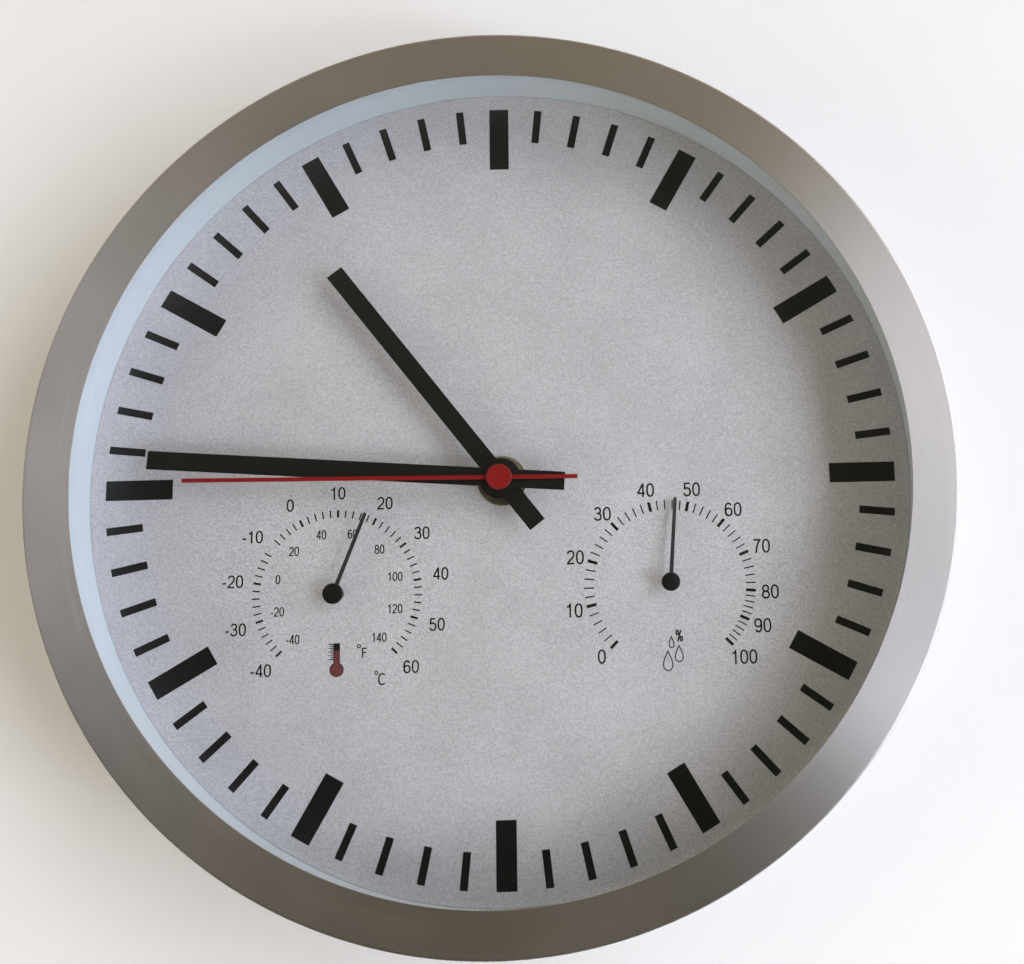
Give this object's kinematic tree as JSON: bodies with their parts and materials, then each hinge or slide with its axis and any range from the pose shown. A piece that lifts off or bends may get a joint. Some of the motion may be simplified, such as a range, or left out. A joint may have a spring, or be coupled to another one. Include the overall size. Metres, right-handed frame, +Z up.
{
  "type": "weather station wall clock",
  "caption": "Round wall clock with a deep brushed metal rim, bar hands over a silver dial, and a thermometer and a hygrometer set in the dial, hung by a keyhole plate.",
  "frame": {"origin": "where the wall screw carries the top of the keyhole slot, on the plane of the wall", "axes": "+Z up, the dial faces -Y, the wall is on the +Y side, +X towards three o'clock"},
  "size_m": [0.35, 0.055, 0.35],
  "materials": {
    "rim_metal": "brushed round the rim",
    "white_ring": "satin moulding",
    "back_board": "fine grain",
    "steel": "zinc plated",
    "lens_glass": "clear",
    "foam": "matt foam",
    "dial": "satin silver paint",
    "movement_plastic": "fine grain",
    "copper_wire": "enamelled wire",
    "ferrite": "matt",
    "gear_plastic": "natural moulding",
    "yellow_gear": "moulding",
    "board": "lacquered board",
    "red_button": "moulding",
    "white_button": "moulding",
    "battery_wrap": "printed sleeve, bare of print",
    "brass": "turned",
    "rubber": "matt",
    "black_hand": "satin black paint",
    "red_hand": "gloss red paint",
    "instrument_plastic": "moulding",
    "bimetal": "rolled strip"
  },
  "bodies": {
    "clock_body": {"case_rim": "rim_metal", "rim_screw_1": "steel", "rim_screw_2": "steel", "rim_screw_3": "steel", "rim_screw_4": "steel", "inner_ring": "white_ring", "back_panel": "back_board", "panel_screw_1": "steel", "panel_screw_2": "steel", "panel_screw_3": "steel", "panel_screw_4": "steel", "panel_screw_5": "steel", "panel_screw_6": "steel", "hanger_plate": "steel", "hanger_screw_1": "steel", "hanger_screw_2": "steel", "glass_lens": "lens_glass", "glass_seal": "foam", "dial_plate": "dial", "movement_case": "movement_plastic", "movement_lid": "movement_plastic", "train_plate": "movement_plastic", "seconds_stator": "steel", "seconds_coil": "copper_wire", "minutes_stator": "steel", "minutes_coil": "copper_wire", "circuit_board": "board", "aerial_rod": "ferrite", "aerial_coil": "copper_wire", "battery": "battery_wrap", "contact_plus": "steel", "contact_minus": "steel", "centre_bush": "brass", "rubber_washer": "rubber", "brass_washer": "brass", "brass_nut": "brass", "thermometer_cup": "instrument_plastic", "thermometer_bridge": "instrument_plastic", "thermometer_strip": "bimetal", "hygrometer_cup": "instrument_plastic", "hygrometer_bridge": "instrument_plastic", "hygrometer_strip": "bimetal"},
    "second_hand_body": {"second_hand": "red_hand", "second_hand_cap": "red_hand", "seconds_wheel": "gear_plastic"},
    "seconds_idler_body": {"seconds_idler": "gear_plastic"},
    "seconds_rotor_body": {"seconds_rotor": "ferrite"},
    "minute_hand_body": {"minute_hand": "black_hand", "minute_wheel": "gear_plastic"},
    "minutes_idler_body": {"minutes_idler": "gear_plastic"},
    "minutes_rotor_body": {"minutes_rotor": "ferrite"},
    "motion_wheel_body": {"motion_wheel": "yellow_gear"},
    "hour_hand_body": {"hour_hand": "black_hand", "hour_wheel": "yellow_gear"},
    "thermometer_body": {"thermometer_pointer": "black_hand", "thermometer_arbor": "steel"},
    "hygrometer_body": {"hygrometer_pointer": "black_hand", "hygrometer_arbor": "steel"},
    "set_button_body": {"set_button": "red_button"},
    "signal_button_body": {"signal_button": "white_button"}
  },
  "joints": [
    {"name": "second_hand_turn", "type": "hinge", "parent": "clock_body", "child": "second_hand_body", "pos_m": [0, -0.036, -0.118], "axis": [0, 1, 0], "continuous": true},
    {"name": "seconds_idler_turn", "type": "hinge", "parent": "clock_body", "child": "seconds_idler_body", "pos_m": [-0.00655, -0.0096, -0.11422], "axis": [0, 1, 0], "continuous": true},
    {"name": "seconds_rotor_turn", "type": "hinge", "parent": "clock_body", "child": "seconds_rotor_body", "pos_m": [-0.01264, -0.0077, -0.11644], "axis": [0, 1, 0], "continuous": true},
    {"name": "minute_hand_turn", "type": "hinge", "parent": "clock_body", "child": "minute_hand_body", "pos_m": [0, -0.034, -0.118], "axis": [0, 1, 0], "continuous": true},
    {"name": "minutes_idler_turn", "type": "hinge", "parent": "clock_body", "child": "minutes_idler_body", "pos_m": [0.00579, -0.0143, -0.11314], "axis": [0, 1, 0], "continuous": true},
    {"name": "minutes_rotor_turn", "type": "hinge", "parent": "clock_body", "child": "minutes_rotor_body", "pos_m": [0.0114, -0.0077, -0.11638], "axis": [0, 1, 0], "continuous": true},
    {"name": "motion_wheel_turn", "type": "hinge", "parent": "clock_body", "child": "motion_wheel_body", "pos_m": [-0.0075, -0.0173, -0.118], "axis": [0, 1, 0], "continuous": true},
    {"name": "hour_hand_turn", "type": "hinge", "parent": "clock_body", "child": "hour_hand_body", "pos_m": [0, -0.032, -0.118], "axis": [0, 1, 0], "continuous": true},
    {"name": "thermometer_turn", "type": "hinge", "parent": "clock_body", "child": "thermometer_body", "pos_m": [-0.0664, -0.0288, -0.1615], "axis": [0, 1, 0], "range_deg": [-156.4, 113.6], "stiffness_Nm_per_rad": 0.002},
    {"name": "hygrometer_turn", "type": "hinge", "parent": "clock_body", "child": "hygrometer_body", "pos_m": [0.0664, -0.0288, -0.1604], "axis": [0, 1, 0], "range_deg": [-139.9, 130.1], "stiffness_Nm_per_rad": 0.002},
    {"name": "set_button_press", "type": "slide", "parent": "clock_body", "child": "set_button_body", "axis": [0, -1, 0], "range_m": [0, 0.001], "stiffness_N_per_m": 800, "springref_m": -0.0005},
    {"name": "signal_button_press", "type": "slide", "parent": "clock_body", "child": "signal_button_body", "axis": [0, -1, 0], "range_m": [0, 0.001], "stiffness_N_per_m": 800, "springref_m": -0.0005}
  ],
  "couplings": [
    {"joint": "seconds_idler_turn", "follows": "second_hand_turn", "ratio": -6},
    {"joint": "seconds_rotor_turn", "follows": "second_hand_turn", "ratio": 30},
    {"joint": "minutes_idler_turn", "follows": "minute_hand_turn", "ratio": -6},
    {"joint": "minutes_rotor_turn", "follows": "minute_hand_turn", "ratio": 30},
    {"joint": "motion_wheel_turn", "follows": "minute_hand_turn", "ratio": -0.33333},
    {"joint": "hour_hand_turn", "follows": "minute_hand_turn", "ratio": 0.083333}
  ]
}
